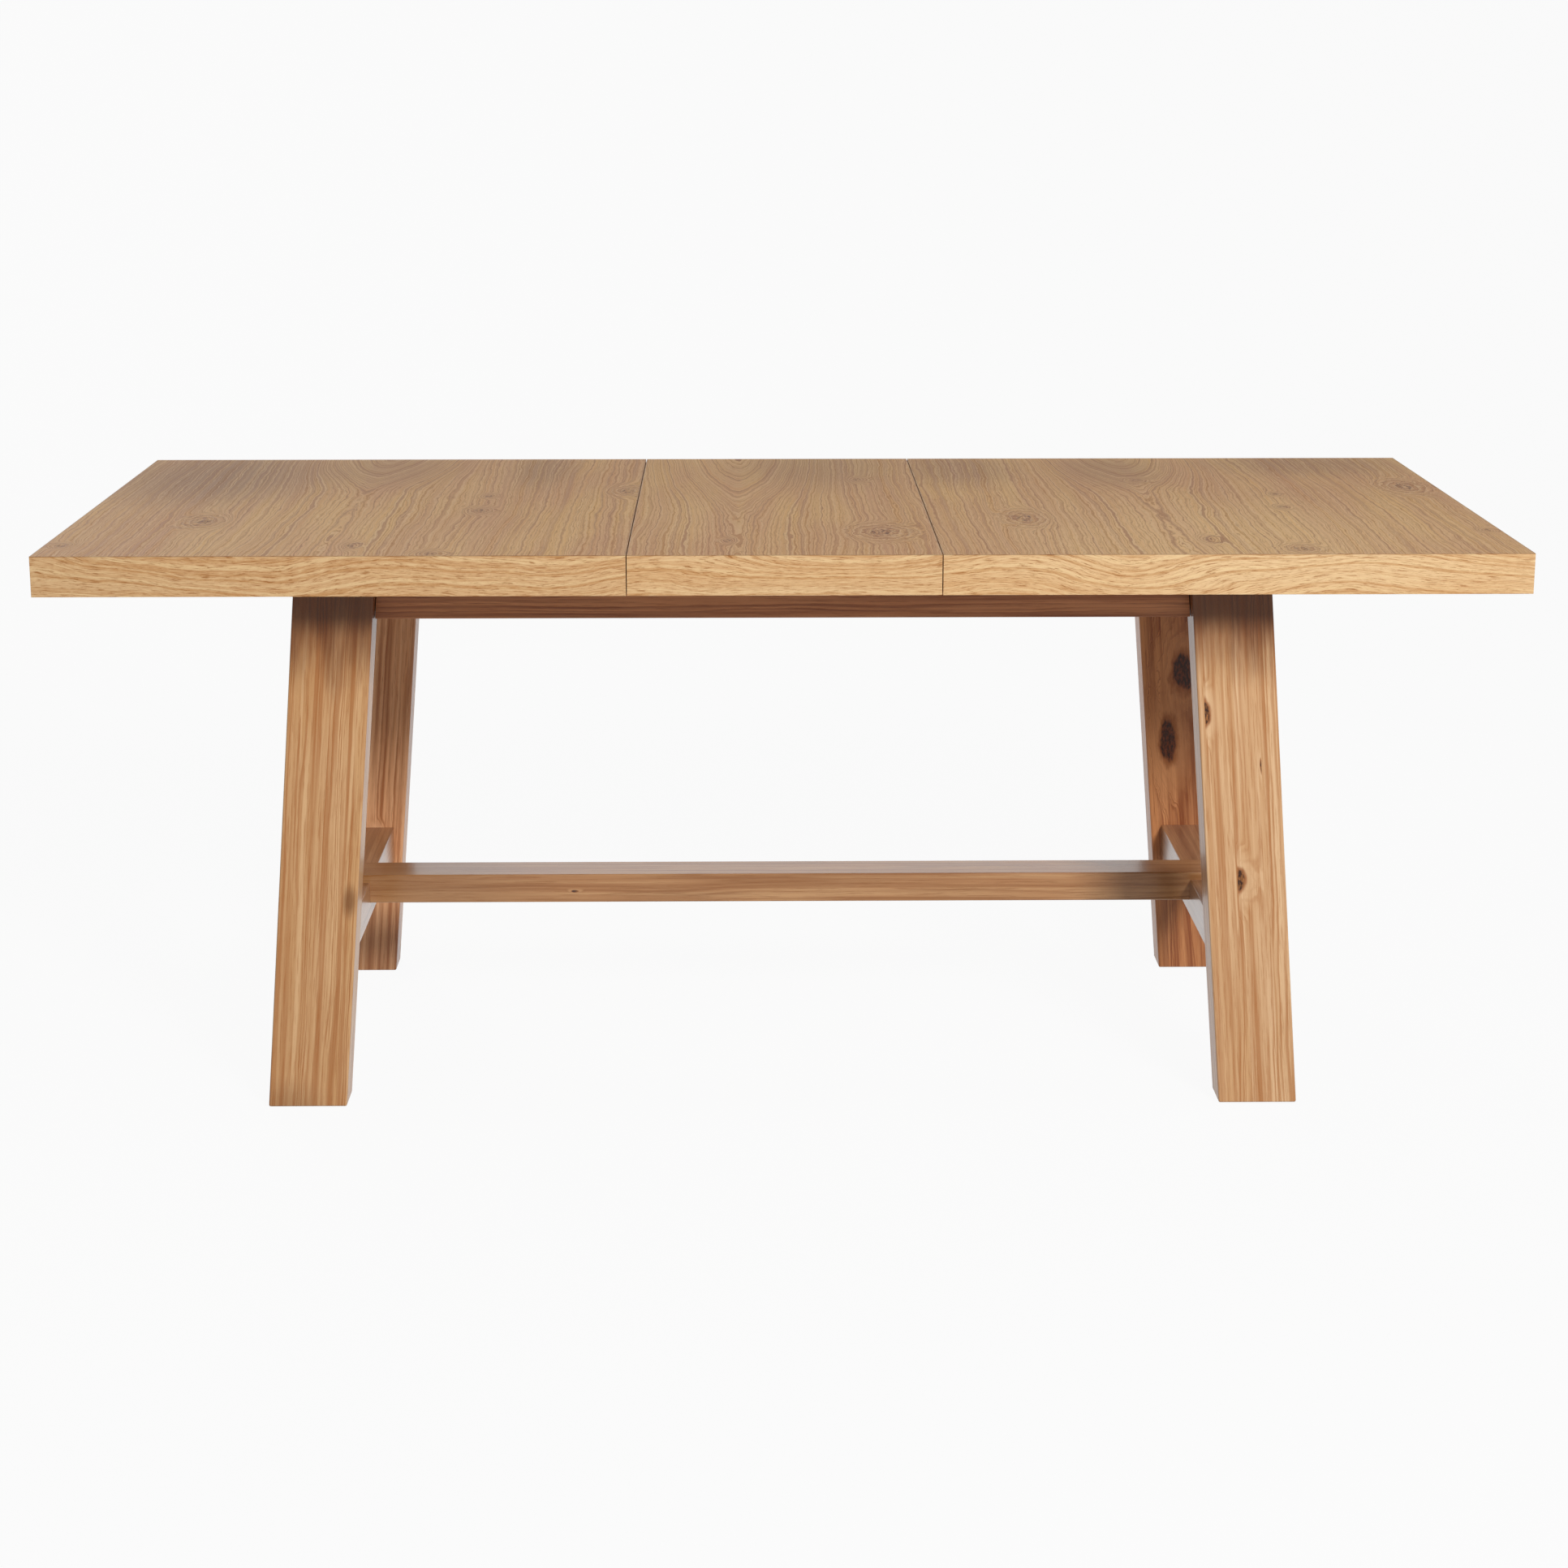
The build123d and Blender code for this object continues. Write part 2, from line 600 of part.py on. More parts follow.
def make_skins(name, x_low, x_high, cut_ends, runner_side):
    """The veneered upper skin of a panel, and its plain lower skin."""
    inside_x = (x_low + EDGE_THICKNESS, x_high - EDGE_THICKNESS)
    inside_y = (-HALF_WIDTH + EDGE_THICKNESS, HALF_WIDTH - EDGE_THICKNESS)
    with BuildPart() as upper:
        block(inside_x, inside_y, (CORE_TOP, TABLE_HEIGHT))
    save(upper, f"{name}_upper_skin")
    with BuildPart() as lower:
        block(inside_x, inside_y, (UNDERSIDE, CORE_BOTTOM))
        cut_ends()
        if runner_side:
            for head, tip in runner_screws(runner_side):
                rod(SCREW_RADIUS + GLUE_LINE, head, tip, mode=Mode.SUBTRACT)
    save(lower, f"{name}_lower_skin")


def make_core(name, x_low, x_high, cross_bars, cut_ends, runner_side):
    """The softwood frame glued between a panel's two skins: two long bars and several cross bars."""
    outer_y = HALF_WIDTH - EDGE_THICKNESS
    inner_y = outer_y - BATTEN_WIDTH
    low = x_low + EDGE_THICKNESS
    high = x_high - EDGE_THICKNESS
    pitch = (high - low - BATTEN_WIDTH) / (cross_bars - 1)
    heights = (CORE_BOTTOM, CORE_TOP)
    with BuildPart() as core:
        for _, face in FACES:
            block((low, high), (face * outer_y, face * inner_y), heights)
        for index in range(cross_bars):
            start = low + index * pitch
            block((start, start + BATTEN_WIDTH), (-inner_y + GLUE_LINE, inner_y - GLUE_LINE), heights)
        if runner_side:
            for _, face in FACES:
                block((low, high), [face * y for y in RUNNER_BATTEN], heights)
            for head, tip in runner_screws(runner_side):
                rod(SCREW_RADIUS + GLUE_LINE, head, along_line(tip, head, -OVERSHOOT), mode=Mode.SUBTRACT)
        cut_ends()
    save(core, f"{name}_core_frame")


def make_edge(name, xs, ys, outer_axis, cut_end):
    """A thin edge band as tall as the top, with its outer arrises eased."""
    with BuildPart() as edge:
        block(xs, ys, (UNDERSIDE, TABLE_HEIGHT))
        outer_faces = edge.faces().filter_by(outer_axis).sort_by(lambda face: -face.center().length)
        fillet(outer_faces[0].edges(), EDGE_ARRIS)
        cut_end()
    save(edge, name)


def make_edges(name, x_low, x_high, low_end, high_end):
    """The four edge bands of a panel. The front and back bands run its full length."""
    inner_y = HALF_WIDTH - EDGE_THICKNESS
    for face_name, face in FACES:
        ys = (face * inner_y, face * HALF_WIDTH)
        make_edge(f"{name}_{face_name}_edge", (x_low, x_high), ys, Axis.Y, cut_nothing)
    ends = ((low_end, (x_low, x_low + EDGE_THICKNESS)), (high_end, (x_high - EDGE_THICKNESS, x_high)))
    for (end_name, cut_end), xs in ends:
        make_edge(f"{name}_{end_name}_edge", xs, (-inner_y, inner_y), Axis.X, cut_end)


def make_top_half(side_name, side, own_rows, other_rows):
    """One sliding half of the top, with its dowels and its two runners."""
    name = f"{side_name}_top"
    x_low, x_high = sorted((side * HALF_INNER, side * HALF_LENGTH))

    def cut_seam():
        cut_dowel_holes(side * HALF_INNER, -side, own_rows)
        cut_dowel_slots(side * HALF_INNER, -side, other_rows)

    make_skins(name, x_low, x_high, cut_seam, side)
    make_core(name, x_low, x_high, HALF_CROSS_BARS, cut_seam, side)
    seam = ("seam", cut_seam)
    end = ("end", cut_nothing)
    if side > 0:
        make_edges(name, x_low, x_high, seam, end)
    else:
        make_edges(name, x_low, x_high, end, seam)

    with BuildPart() as dowels:
        for y in own_rows:
            inner = side * (HALF_INNER - JOINT_GAP - DOWEL_REACH + DOWEL_END_PLAY)
            outer = side * (HALF_INNER + DOWEL_SOCKET - DOWEL_END_PLAY)
            rod(DOWEL_RADIUS, (inner, y, DOWEL_Z), (outer, y, DOWEL_Z))
        chamfer(dowels.edges(), DOWEL_CHAMFER)
    save(dowels, f"{name}_dowels")

    for face_name, face in FACES:
        make_runner(f"{side_name}_{face_name}_runner", side, face)
    with BuildPart() as screws:
        for head, tip in runner_screws(side):
            wood_screw(head, tip)
    save(screws, f"{side_name}_runner_screws")


def make_runner(name, side, face):
    """A hardwood runner under a half, with the tongue that rides in the guide rail's groove."""
    outer_y = face * RUNNER_Y
    inner_y = face * (RUNNER_Y - RUNNER_WIDTH)
    length = (side * RUNNER_INNER, side * RUNNER_OUTER)
    with BuildPart() as runner:
        block(length, (outer_y, inner_y), (RUNNER_BOTTOM, UNDERSIDE))
        long_edges(runner, Axis.X, RUNNER_ROUND)
        tongue_ys = (inner_y + face * TONGUE_SHOULDER, face * (GUIDE_Y + GROOVE_DEPTH - RUNNER_CLEARANCE))
        block(length, tongue_ys, (GROOVE_LOW + RUNNER_CLEARANCE, GROOVE_HIGH - RUNNER_CLEARANCE))
        for head, tip in runner_screws(side):
            if head[1] * face > 0:
                screw_hole(head, tip)
    save(runner, name)


def make_leaf():
    """The loose centre leaf, with a slot at each place where a half has a dowel."""

    def cut_left():
        cut_dowel_slots(-LEAF_OUTER, -1, LEFT_DOWEL_ROWS)

    def cut_right():
        cut_dowel_slots(LEAF_OUTER, 1, RIGHT_DOWEL_ROWS)

    def cut_both():
        cut_left()
        cut_right()

    make_skins("leaf", -LEAF_OUTER, LEAF_OUTER, cut_both, 0)
    make_core("leaf", -LEAF_OUTER, LEAF_OUTER, LEAF_CROSS_BARS, cut_both, 0)
    make_edges("leaf", -LEAF_OUTER, LEAF_OUTER, ("left", cut_left), ("right", cut_right))


# ---------------------------------------------------------------- the whole table
def make_base():
    """The fixed base: legs, rails, aprons, stretcher, guides and everything that holds them together."""
    for side_name, side in SIDES:
        for face_name, face in FACES:
            make_leg(f"{side_name}_{face_name}_leg", side, face)
            make_guide_rail(f"{side_name}_{face_name}_guide_rail", side, face)
        make_end_rail(f"{side_name}_end_rail", side)
        make_foot_rail(f"{side_name}_foot_rail", side)
    for face_name, face in FACES:
        make_apron(f"{face_name}_apron", face)
    make_stretcher()
    make_centre_bearer()
    make_corner_blocks()
    make_base_fasteners()
    make_slide_pads()
    make_foot_glides()


os.makedirs("parts", exist_ok=True)
make_base()
make_top_half("left", -1, LEFT_DOWEL_ROWS, RIGHT_DOWEL_ROWS)
make_top_half("right", 1, RIGHT_DOWEL_ROWS, LEFT_DOWEL_ROWS)
make_leaf()
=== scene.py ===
"""Looks of the extendable dining table: an oak-veneered top on a stained pine trestle base."""

import math

import bmesh
import bpy
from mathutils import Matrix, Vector


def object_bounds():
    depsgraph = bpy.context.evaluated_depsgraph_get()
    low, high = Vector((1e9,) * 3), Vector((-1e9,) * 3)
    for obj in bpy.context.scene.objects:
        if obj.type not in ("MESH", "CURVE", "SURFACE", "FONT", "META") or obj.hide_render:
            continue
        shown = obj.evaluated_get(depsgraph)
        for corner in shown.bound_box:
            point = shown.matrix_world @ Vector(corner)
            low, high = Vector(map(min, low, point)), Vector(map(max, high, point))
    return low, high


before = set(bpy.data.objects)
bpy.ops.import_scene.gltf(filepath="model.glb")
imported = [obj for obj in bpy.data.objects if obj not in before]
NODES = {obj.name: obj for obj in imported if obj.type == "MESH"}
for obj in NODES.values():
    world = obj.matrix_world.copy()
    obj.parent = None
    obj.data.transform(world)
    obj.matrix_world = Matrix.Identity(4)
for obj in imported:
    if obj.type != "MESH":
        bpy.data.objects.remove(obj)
cad_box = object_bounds()

MM_IN_M = 1000.0
TABLE_TOP = MM_IN_M * cad_box[1][2]
# The legs lean outwards by 59 mm over their 718 mm of height.
LEG_LEAN = math.atan(59.0 / 718.0)


# ---------------------------------------------------------------- node helpers
def hex_colour(code):
    """An sRGB hex code as the linear colour that a shader takes."""
    channels = [int(code[place:place + 2], 16) / 255 for place in (1, 3, 5)]
    linear = [c / 12.92 if c <= 0.04045 else ((c + 0.055) / 1.055) ** 2.4 for c in channels]
    return (*linear, 1.0)


def add(tree, kind, *values, **settings):
    """Adds a node, sets its properties, and links or sets its inputs in their order."""
    node = tree.nodes.new(f"ShaderNode{kind}")
    for key, value in settings.items():
        setattr(node, key, value)
    for socket, value in zip([socket for socket in node.inputs if socket.enabled], values):
        if isinstance(value, bpy.types.Node):
            value = next(output for output in value.outputs if output.enabled)
        if isinstance(value, bpy.types.NodeSocket):
            tree.links.new(value, socket)
        elif value is not None:
            socket.default_value = value
    return node


def new_finish(name, roughness, ior=1.5, metallic=0.0):
    """An empty material with its shader's constants set, and the tree that its pattern goes in."""
    material = bpy.data.materials.new(name)
    material.use_nodes = True
    tree = material.node_tree
    shader = tree.nodes["Principled BSDF"]
    shader.inputs["Roughness"].default_value = roughness
    shader.inputs["IOR"].default_value = ior
    shader.inputs["Metallic"].default_value = metallic
    return material, tree, shader


def surface(tree, shader, colour, roughness=None, height=None, depth_mm=0.1):
    """Links a pattern's colour, roughness and relief to the shader."""
    tree.links.new(next(output for output in colour.outputs if output.enabled), shader.inputs["Base Color"])
    if roughness:
        tree.links.new(roughness.outputs[0], shader.inputs["Roughness"])
    if height:
        bump = add(tree, "Bump", 1.0, depth_mm / MM_IN_M, None, height)
        tree.links.new(bump.outputs[0], shader.inputs["Normal"])


def dress(material, *names):
    """Gives CAD nodes a material."""
    for name in names:
        for slot in NODES[name].material_slots:
            slot.material = material


# ---------------------------------------------------------------- wood patterns
# Sizes and places are in millimetres. Each stain: the pale wood, the middle tone, and the dark latewood.
FRONT_PINE = ("#e6ba89", "#d6a571", "#ae6b34")
PALE_PINE = ("#e8c094", "#d9ab7b", "#b1713c")
# The left back leg's hues are the pine's own, but its extra brightness is painted light, for light that
# reaches that leg under the top.
LEFT_BACK_PINE_PAINTED_LIGHT = ("#fdc595", "#efaf7c", "#aa6336")
RIGHT_BACK_PINE = ("#dd9b67", "#cc8653", "#88441f")
# Pine pieces are glued up from staves of this width. Measured into the piece, the pith lies this far short of
# the origin, in the legs and in the rest, and the rings round it are flattened, as in flat-sawn boards.
STAVE_WIDTH = 36.0
LEG_PITH = 395.0
RAIL_PITH = 60.0
RING_FLATTENING = 0.35
# Each drift: how long, wide and deep its waves are, and how far they push the grain lines.
VENEER_DRIFTS = (
    ((900, 240, 400), 60.0),
    ((120, 30, 400), 13.0),
    ((34, 7, 400), 5.0),
    ((9, 3, 400), 1.4),
)
PINE_DRIFTS = (
    ((420, 60, 90), 30.0),
    ((110, 16, 30), 5.0),
    ((22, 5, 9), 1.2),
)
# The edge bands darken at their upper arris, in the last 1.2 mm, and less at the seams than at the outside.
ARRIS_BOTTOM = TABLE_TOP - 1.2
ARRIS_FADE = 0.8
OUTER_ARRIS = 0.5
SEAM_ARRIS = 0.35
# A distance, in knot sizes, at which a knot no longer shows.
OUT_OF_SIGHT = 9.0


def grain_axes(tree, along, turn=0.0):
    """Object coordinates in millimetres, as three sockets: along the grain, across it, and into the piece."""
    place = add(tree, "TexCoord").outputs["Object"]
    placed = add(tree, "Mapping", place, None, (0, turn, 0), (MM_IN_M, MM_IN_M, MM_IN_M))
    x, y, z = add(tree, "SeparateXYZ", placed).outputs
    return {"X": (x, z, y), "Y": (y, x, z), "Z": (z, x, y)}[along]


def stretched_noise(tree, along, across, depth, lengths, detail=2.0, roughness=0.5):
    """Noise whose blotches are as long, wide and deep as the three lengths, in millimetres."""
    cell = [add(tree, "Math", socket, 1 / length, operation="MULTIPLY")
            for socket, length in zip((along, across, depth), lengths)]
    return add(tree, "TexNoise", add(tree, "CombineXYZ", *cell), 1.0, detail, roughness)


def knot_distance(tree, along, across, knot):
    """How far a point is from a knot, where 1 is the knot's own edge.

    A knot that is cut by the edge of a board shows on one side of its middle only.
    """
    place_along, place_across, size, stretch, shown_side = knot
    u = add(tree, "Math", along, place_along, operation="SUBTRACT")
    u = add(tree, "Math", u, size * stretch, operation="DIVIDE")
    v = add(tree, "Math", across, place_across, operation="SUBTRACT")
    v = add(tree, "Math", v, size, operation="DIVIDE")
    distance = add(tree, "VectorMath", add(tree, "CombineXYZ", u, v), operation="LENGTH").outputs["Value"]
    if shown_side:
        beside = add(tree, "Math", v, shown_side, operation="MULTIPLY")
        hidden = add(tree, "Math", beside, 0.0, operation="LESS_THAN")
        distance = add(tree, "Math", hidden, OUT_OF_SIGHT, distance, operation="MULTIPLY_ADD")
    return distance


def turned(places, turn):
    """The same places, measured along and across a piece that leans by this angle."""
    return [(a * math.cos(turn) - c * math.sin(turn), c * math.cos(turn) + a * math.sin(turn), *rest)
            for a, c, *rest in places]


def flow_round_knots(tree, field, along, across, ragged, knots, reach, lift):
    """Bends the grain round each knot. Gives the bent field and the distance to the nearest knot."""
    nearest = None
    for knot in knots:
        distance = add(tree, "Math", ragged, 1.2, knot_distance(tree, along, across, knot),
                       operation="MULTIPLY_ADD")
        swirl = add(tree, "MapRange", distance, 0.5, reach, knot[2] * lift, 0.0,
                    interpolation_type="SMOOTHERSTEP")
        field = add(tree, "Math", field, swirl, operation="ADD")
        nearest = add(tree, "Math", nearest, distance, operation="MINIMUM") if nearest else distance
    return field, nearest


def oak_veneer(name, seed, crown, knots, shades):
    """Rustic oak veneer, flat cut and matt lacquered: fine low-contrast lines that meet in a crown."""
    material, tree, shader = new_finish(name, 0.5)
    shader.inputs["Specular IOR Level"].default_value = 0.06
    along, across, depth = grain_axes(tree, "Y")
    run = add(tree, "Math", along, seed * 731.0, operation="ADD")
    crown_across, crown_start, crown_end, crown_rise = crown

    sideways = add(tree, "Math", across, crown_across, operation="SUBTRACT")
    side = add(tree, "CombineXYZ", sideways, 9.0)
    side = add(tree, "VectorMath", side, operation="LENGTH").outputs["Value"]
    arch = add(tree, "MapRange", along, crown_start, crown_end, 0.0, -crown_rise,
               interpolation_type="SMOOTHSTEP")
    reach = add(tree, "MapRange", side, 10.0, 170.0, 1.0, 0.0, interpolation_type="SMOOTHSTEP")
    field = add(tree, "Math", arch, reach, side, operation="MULTIPLY_ADD")
    for lengths, sway in VENEER_DRIFTS:
        drift = stretched_noise(tree, run, across, depth, lengths)
        field = add(tree, "Math", drift, sway, field, operation="MULTIPLY_ADD")
    ragged = stretched_noise(tree, along, across, depth, (24, 14, 400), 3.0, 0.6)
    ragged = add(tree, "Math", ragged, 0.5, operation="SUBTRACT")
    field, nearest = flow_round_knots(tree, field, along, across, ragged, knots, 3.8, 3.6)

    rings = add(tree, "TexNoise", field, 0.13, 3.0, 0.65, noise_dimensions="1D")
    hairs = add(tree, "TexNoise", field, 0.33, 3.0, 0.7, noise_dimensions="1D")
    patch = stretched_noise(tree, run, field, depth, (240, 16, 400), 1.0)
    beside_crown = add(tree, "MapRange", side, 15.0, 120.0, 0.6, 0.0, interpolation_type="SMOOTHSTEP")
    up_crown = add(tree, "MapRange", along, crown_start - 120.0, crown_end, 0.1, 1.0)
    bold = add(tree, "MapRange", patch, 0.35, 0.65, 0.3, 0.8)
    bold = add(tree, "Math", beside_crown, up_crown, bold, operation="MULTIPLY_ADD")
    beside_knot = add(tree, "MapRange", nearest, 1.0, 4.5, 0.7, 0.0, interpolation_type="SMOOTHSTEP")
    bold = add(tree, "Math", bold, beside_knot, operation="ADD")
    pores = stretched_noise(tree, along, field, depth, (34, 1.6, 400), 3.0, 0.7)
    cloud = stretched_noise(tree, run, across, depth, (420, 130, 400), 3.0)
    flush = stretched_noise(tree, run, across, depth, (800, 42, 400))

    colour = add(tree, "Mix", add(tree, "MapRange", cloud, 0.38, 0.62), hex_colour("#d0a072"),
                 hex_colour("#ddb178"), data_type="RGBA")
    pink = add(tree, "MapRange", flush, 0.44, 0.62, 0.0, 0.6, interpolation_type="SMOOTHSTEP")
    colour = add(tree, "Mix", pink, colour, hex_colour("#cc9a72"), data_type="RGBA")
    # Shades: partly the veneer's own tone, partly painted shade towards the back and painted light towards
    # the front.
    for *patch_place, strength, code in shades:
        away = knot_distance(tree, along, across, (*patch_place, 0))
        shade = add(tree, "MapRange", away, 0.2, 1.2, strength, 0.0, interpolation_type="SMOOTHSTEP")
        colour = add(tree, "Mix", shade, colour, hex_colour(code), data_type="RGBA")
    late = add(tree, "MapRange", rings, 0.53, 0.64, 0.0, 0.60, interpolation_type="SMOOTHSTEP")
    late = add(tree, "Math", late, bold, operation="MULTIPLY")
    colour = add(tree, "Mix", late, colour, hex_colour("#965a2c"), data_type="RGBA")
    hair = add(tree, "MapRange", hairs, 0.50, 0.60, 0.0, 0.50, interpolation_type="SMOOTHSTEP")
    colour = add(tree, "Mix", hair, colour, hex_colour("#a26b3b"), data_type="RGBA")
    bright = add(tree, "MapRange", hairs, 0.47, 0.38, 0.0, 0.50, interpolation_type="SMOOTHSTEP")
    colour = add(tree, "Mix", bright, colour, hex_colour("#dcb98c"), data_type="RGBA")
    crossing = add(tree, "Math", add(tree, "Math", rings, 0.47, operation="SUBTRACT"), operation="ABSOLUTE")
    thread = add(tree, "MapRange", crossing, 0.026, 0.008, 0.0, 0.50, interpolation_type="SMOOTHSTEP")
    colour = add(tree, "Mix", thread, colour, hex_colour("#e2bf92"), data_type="RGBA")
    pore = add(tree, "MapRange", pores, 0.54, 0.66, 0.0, 0.45, interpolation_type="SMOOTHSTEP")
    colour = add(tree, "Mix", pore, colour, hex_colour("#965f30"), data_type="RGBA")

    turns = add(tree, "Math", add(tree, "Math", nearest, 1.5, operation="MULTIPLY"), operation="FRACT")
    close = add(tree, "MapRange", nearest, 1.2, 3.8, 0.55, 0.0, interpolation_type="SMOOTHSTEP")
    dark_turn = add(tree, "MapRange", turns, 0.55, 0.90, interpolation_type="SMOOTHSTEP")
    dark_turn = add(tree, "Math", dark_turn, close, operation="MULTIPLY")
    colour = add(tree, "Mix", dark_turn, colour, hex_colour("#965a2c"), data_type="RGBA")
    pale_turn = add(tree, "MapRange", turns, 0.40, 0.10, interpolation_type="SMOOTHSTEP")
    pale_turn = add(tree, "Math", pale_turn, close, operation="MULTIPLY")
    colour = add(tree, "Mix", pale_turn, colour, hex_colour("#e6c79c"), data_type="RGBA")
    eye = add(tree, "MapRange", nearest, 0.9, 2.4, 0.30, 0.0, interpolation_type="SMOOTHSTEP")
    colour = add(tree, "Mix", eye, colour, hex_colour("#b3835f"), data_type="RGBA")
    crack = stretched_noise(tree, along, across, depth, (13, 5, 400), 3.0, 0.7)
    core = add(tree, "MapRange", nearest, 0.55, 1.05, 0.85, 0.0, interpolation_type="SMOOTHSTEP")
    heart = add(tree, "Math", core, add(tree, "MapRange", crack, 0.48, 0.60), operation="MULTIPLY")
    colour = add(tree, "Mix", heart, colour, hex_colour("#6a3f24"), data_type="RGBA")
    rough = add(tree, "MapRange", rings, 0.35, 0.65, 0.55, 0.45)
    relief = add(tree, "Math", hairs, pore, operation="SUBTRACT")
    surface(tree, shader, colour, rough, relief, depth_mm=0.12)
    return material


def oak_edge(name, along_axis, seed, tone, arris_shade):
    """Oak edge band, sliced and matt lacquered: yellower than the top, with short pores and ray flecks."""
    material, tree, shader = new_finish(name, 0.42)
    shader.inputs["Specular IOR Level"].default_value = 0.12
    along, across, depth = grain_axes(tree, along_axis)
    if along_axis == "Y":
        across, depth = depth, across
    run = add(tree, "Math", along, seed * 377.0, operation="ADD")
    slope = stretched_noise(tree, run, across, depth, (380, 200, 400))
    waver = stretched_noise(tree, run, across, depth, (46, 10, 400))
    field = add(tree, "Math", slope, 110.0, across, operation="MULTIPLY_ADD")
    field = add(tree, "Math", waver, 4.0, field, operation="MULTIPLY_ADD")
    rings = add(tree, "TexNoise", field, 0.16, 3.0, 0.7, noise_dimensions="1D")
    flecks = stretched_noise(tree, run, field, depth, (20, 1.2, 400), 3.0, 0.75)
    rays = stretched_noise(tree, run, field, depth, (14, 2.6, 400), 1.0)
    cloud = stretched_noise(tree, run, across, depth, (420, 60, 400))
    colour = add(tree, "Mix", add(tree, "MapRange", cloud, 0.35, 0.65), hex_colour("#ddb07e"),
                 hex_colour("#e9c596"), data_type="RGBA")
    colour = add(tree, "Mix", tone, colour, hex_colour("#bd8655"), data_type="RGBA")
    late = add(tree, "MapRange", rings, 0.50, 0.64, 0.0, 0.55, interpolation_type="SMOOTHSTEP")
    colour = add(tree, "Mix", late, colour, hex_colour("#bf8850"), data_type="RGBA")
    pale = add(tree, "MapRange", rings, 0.47, 0.36, 0.0, 0.5, interpolation_type="SMOOTHSTEP")
    colour = add(tree, "Mix", pale, colour, hex_colour("#efcf9c"), data_type="RGBA")
    fleck = add(tree, "MapRange", flecks, 0.52, 0.64, 0.0, 0.85, interpolation_type="SMOOTHSTEP")
    colour = add(tree, "Mix", fleck, colour, hex_colour("#a66d3b"), data_type="RGBA")
    glint = add(tree, "MapRange", flecks, 0.46, 0.36, 0.0, 0.45, interpolation_type="SMOOTHSTEP")
    colour = add(tree, "Mix", glint, colour, hex_colour("#f0d2a0"), data_type="RGBA")
    ray = add(tree, "MapRange", rays, 0.60, 0.70, 0.0, 0.35, interpolation_type="SMOOTHSTEP")
    colour = add(tree, "Mix", ray, colour, hex_colour("#eecb97"), data_type="RGBA")
    arris = add(tree, "MapRange", across, ARRIS_BOTTOM, ARRIS_BOTTOM + ARRIS_FADE, 0.0, arris_shade)
    colour = add(tree, "Mix", arris, colour, hex_colour("#5a2c0e"), data_type="RGBA")
    surface(tree, shader, colour, None, flecks, depth_mm=0.1)
    return material


